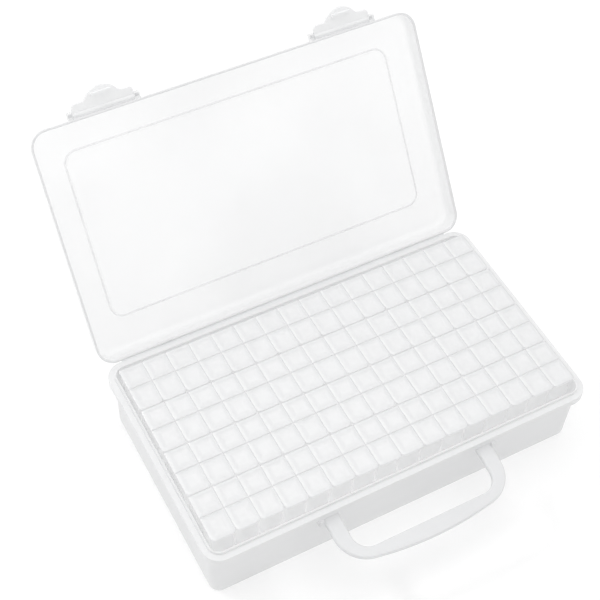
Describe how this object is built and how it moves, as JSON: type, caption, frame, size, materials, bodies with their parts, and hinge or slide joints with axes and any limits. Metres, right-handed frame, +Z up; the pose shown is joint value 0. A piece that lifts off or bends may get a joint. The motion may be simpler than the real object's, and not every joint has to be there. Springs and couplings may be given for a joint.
{
  "type": "bead storage box",
  "caption": "Translucent carrying case with a hinged tray lid, swinging latches and a bail handle, filled with a grid of lift-out flip-top boxes for beads.",
  "frame": {"origin": "middle of the tub's underside, on the surface that the case stands on", "axes": "+Z up, +X to the right along the hinge, +Y from the handle at the front to the hinge at the back"},
  "size_m": [0.278, 0.3035, 0.1922],
  "materials": {
    "case_plastic": "smooth translucent polypropylene, faintly milky",
    "latch_plastic": "smooth translucent polypropylene",
    "handle_plastic": "smooth, milky translucent polypropylene",
    "cup_plastic": "clear, slightly frosted polypropylene",
    "cover_plastic": "clear, slightly frosted polypropylene"
  },
  "bodies": {
    "base": {"case_tub": "case_plastic", "hinge_web": "case_plastic"},
    "lid": {"case_lid": "case_plastic"},
    "left_latch": {"latch_left": "latch_plastic"},
    "right_latch": {"latch_right": "latch_plastic"},
    "handle": {"carry_handle": "handle_plastic"},
    "row_1": {"bead_cups_row_1": "cup_plastic", "box_caps_row_1": "cover_plastic"},
    "row_2": {"bead_cups_row_2": "cup_plastic", "box_caps_row_2": "cover_plastic"},
    "row_3": {"bead_cups_row_3": "cup_plastic", "box_caps_row_3": "cover_plastic"},
    "row_4": {"bead_cups_row_4": "cup_plastic", "box_caps_row_4": "cover_plastic"},
    "row_1_flaps": {"flaps_row_1": "cover_plastic"},
    "row_2_flaps": {"flaps_row_2": "cover_plastic"},
    "row_3_flaps": {"flaps_row_3": "cover_plastic"},
    "front_flap_01": {"flap_front_01": "cover_plastic"},
    "front_flap_02": {"flap_front_02": "cover_plastic"},
    "front_flap_03": {"flap_front_03": "cover_plastic"},
    "front_flap_04": {"flap_front_04": "cover_plastic"},
    "front_flap_05": {"flap_front_05": "cover_plastic"},
    "front_flap_06": {"flap_front_06": "cover_plastic"},
    "front_flap_07": {"flap_front_07": "cover_plastic"},
    "front_flap_08": {"flap_front_08": "cover_plastic"},
    "front_flap_09": {"flap_front_09": "cover_plastic"},
    "front_flap_10": {"flap_front_10": "cover_plastic"},
    "front_flap_11": {"flap_front_11": "cover_plastic"},
    "front_flap_12": {"flap_front_12": "cover_plastic"},
    "front_flap_13": {"flap_front_13": "cover_plastic"},
    "front_flap_14": {"flap_front_14": "cover_plastic"},
    "front_flap_15": {"flap_front_15": "cover_plastic"},
    "front_flap_16": {"flap_front_16": "cover_plastic"}
  },
  "joints": [
    {"name": "lid_hinge", "type": "hinge", "parent": "base", "child": "lid", "pos_m": [0, 0.0802, 0.0501], "axis": [-1, 0, 0], "range_deg": [-126.2, 0], "deforming": ["hinge_web"]},
    {"name": "left_latch_pivot", "type": "hinge", "parent": "lid", "child": "left_latch", "pos_m": [-0.086, 0.17886, 0.17914], "axis": [-1, 0, 0], "range_deg": [-80, 0]},
    {"name": "right_latch_pivot", "type": "hinge", "parent": "lid", "child": "right_latch", "pos_m": [0.086, 0.17886, 0.17914], "axis": [-1, 0, 0], "range_deg": [-80, 0]},
    {"name": "handle_pivot", "type": "hinge", "parent": "base", "child": "handle", "pos_m": [0, -0.07856, 0.0416], "axis": [1, 0, 0], "range_deg": [-29, 82]},
    {"name": "row_1_lift", "type": "slide", "parent": "base", "child": "row_1", "axis": [0, 0, 1], "range_m": [0, 0.06]},
    {"name": "row_2_lift", "type": "slide", "parent": "base", "child": "row_2", "axis": [0, 0, 1], "range_m": [0, 0.06]},
    {"name": "row_3_lift", "type": "slide", "parent": "base", "child": "row_3", "axis": [0, 0, 1], "range_m": [0, 0.06]},
    {"name": "row_4_lift", "type": "slide", "parent": "base", "child": "row_4", "axis": [0, 0, 1], "range_m": [0, 0.06]},
    {"name": "row_1_flaps_hinge", "type": "hinge", "parent": "row_1", "child": "row_1_flaps", "pos_m": [0, 0.05245, 0.0583], "axis": [-1, 0, 0], "range_deg": [0, 160]},
    {"name": "row_2_flaps_hinge", "type": "hinge", "parent": "row_2", "child": "row_2_flaps", "pos_m": [0, 0.01775, 0.0583], "axis": [-1, 0, 0], "range_deg": [0, 160]},
    {"name": "row_3_flaps_hinge", "type": "hinge", "parent": "row_3", "child": "row_3_flaps", "pos_m": [0, -0.01695, 0.0583], "axis": [-1, 0, 0], "range_deg": [0, 160]},
    {"name": "front_flap_01_hinge", "type": "hinge", "parent": "row_4", "child": "front_flap_01", "pos_m": [-0.12375, -0.05165, 0.0583], "axis": [-1, 0, 0], "range_deg": [0, 160]},
    {"name": "front_flap_02_hinge", "type": "hinge", "parent": "row_4", "child": "front_flap_02", "pos_m": [-0.10725, -0.05165, 0.0583], "axis": [-1, 0, 0], "range_deg": [0, 160]},
    {"name": "front_flap_03_hinge", "type": "hinge", "parent": "row_4", "child": "front_flap_03", "pos_m": [-0.09075, -0.05165, 0.0583], "axis": [-1, 0, 0], "range_deg": [0, 160]},
    {"name": "front_flap_04_hinge", "type": "hinge", "parent": "row_4", "child": "front_flap_04", "pos_m": [-0.07425, -0.05165, 0.0583], "axis": [-1, 0, 0], "range_deg": [0, 160]},
    {"name": "front_flap_05_hinge", "type": "hinge", "parent": "row_4", "child": "front_flap_05", "pos_m": [-0.05775, -0.05165, 0.0583], "axis": [-1, 0, 0], "range_deg": [0, 160]},
    {"name": "front_flap_06_hinge", "type": "hinge", "parent": "row_4", "child": "front_flap_06", "pos_m": [-0.04125, -0.05165, 0.0583], "axis": [-1, 0, 0], "range_deg": [0, 160]},
    {"name": "front_flap_07_hinge", "type": "hinge", "parent": "row_4", "child": "front_flap_07", "pos_m": [-0.02475, -0.05165, 0.0583], "axis": [-1, 0, 0], "range_deg": [0, 160]},
    {"name": "front_flap_08_hinge", "type": "hinge", "parent": "row_4", "child": "front_flap_08", "pos_m": [-0.00825, -0.05165, 0.0583], "axis": [-1, 0, 0], "range_deg": [0, 160]},
    {"name": "front_flap_09_hinge", "type": "hinge", "parent": "row_4", "child": "front_flap_09", "pos_m": [0.00825, -0.05165, 0.0583], "axis": [-1, 0, 0], "range_deg": [0, 160]},
    {"name": "front_flap_10_hinge", "type": "hinge", "parent": "row_4", "child": "front_flap_10", "pos_m": [0.02475, -0.05165, 0.0583], "axis": [-1, 0, 0], "range_deg": [0, 160]},
    {"name": "front_flap_11_hinge", "type": "hinge", "parent": "row_4", "child": "front_flap_11", "pos_m": [0.04125, -0.05165, 0.0583], "axis": [-1, 0, 0], "range_deg": [0, 160]},
    {"name": "front_flap_12_hinge", "type": "hinge", "parent": "row_4", "child": "front_flap_12", "pos_m": [0.05775, -0.05165, 0.0583], "axis": [-1, 0, 0], "range_deg": [0, 160]},
    {"name": "front_flap_13_hinge", "type": "hinge", "parent": "row_4", "child": "front_flap_13", "pos_m": [0.07425, -0.05165, 0.0583], "axis": [-1, 0, 0], "range_deg": [0, 160]},
    {"name": "front_flap_14_hinge", "type": "hinge", "parent": "row_4", "child": "front_flap_14", "pos_m": [0.09075, -0.05165, 0.0583], "axis": [-1, 0, 0], "range_deg": [0, 160]},
    {"name": "front_flap_15_hinge", "type": "hinge", "parent": "row_4", "child": "front_flap_15", "pos_m": [0.10725, -0.05165, 0.0583], "axis": [-1, 0, 0], "range_deg": [0, 160]},
    {"name": "front_flap_16_hinge", "type": "hinge", "parent": "row_4", "child": "front_flap_16", "pos_m": [0.12375, -0.05165, 0.0583], "axis": [-1, 0, 0], "range_deg": [0, 160]}
  ]
}
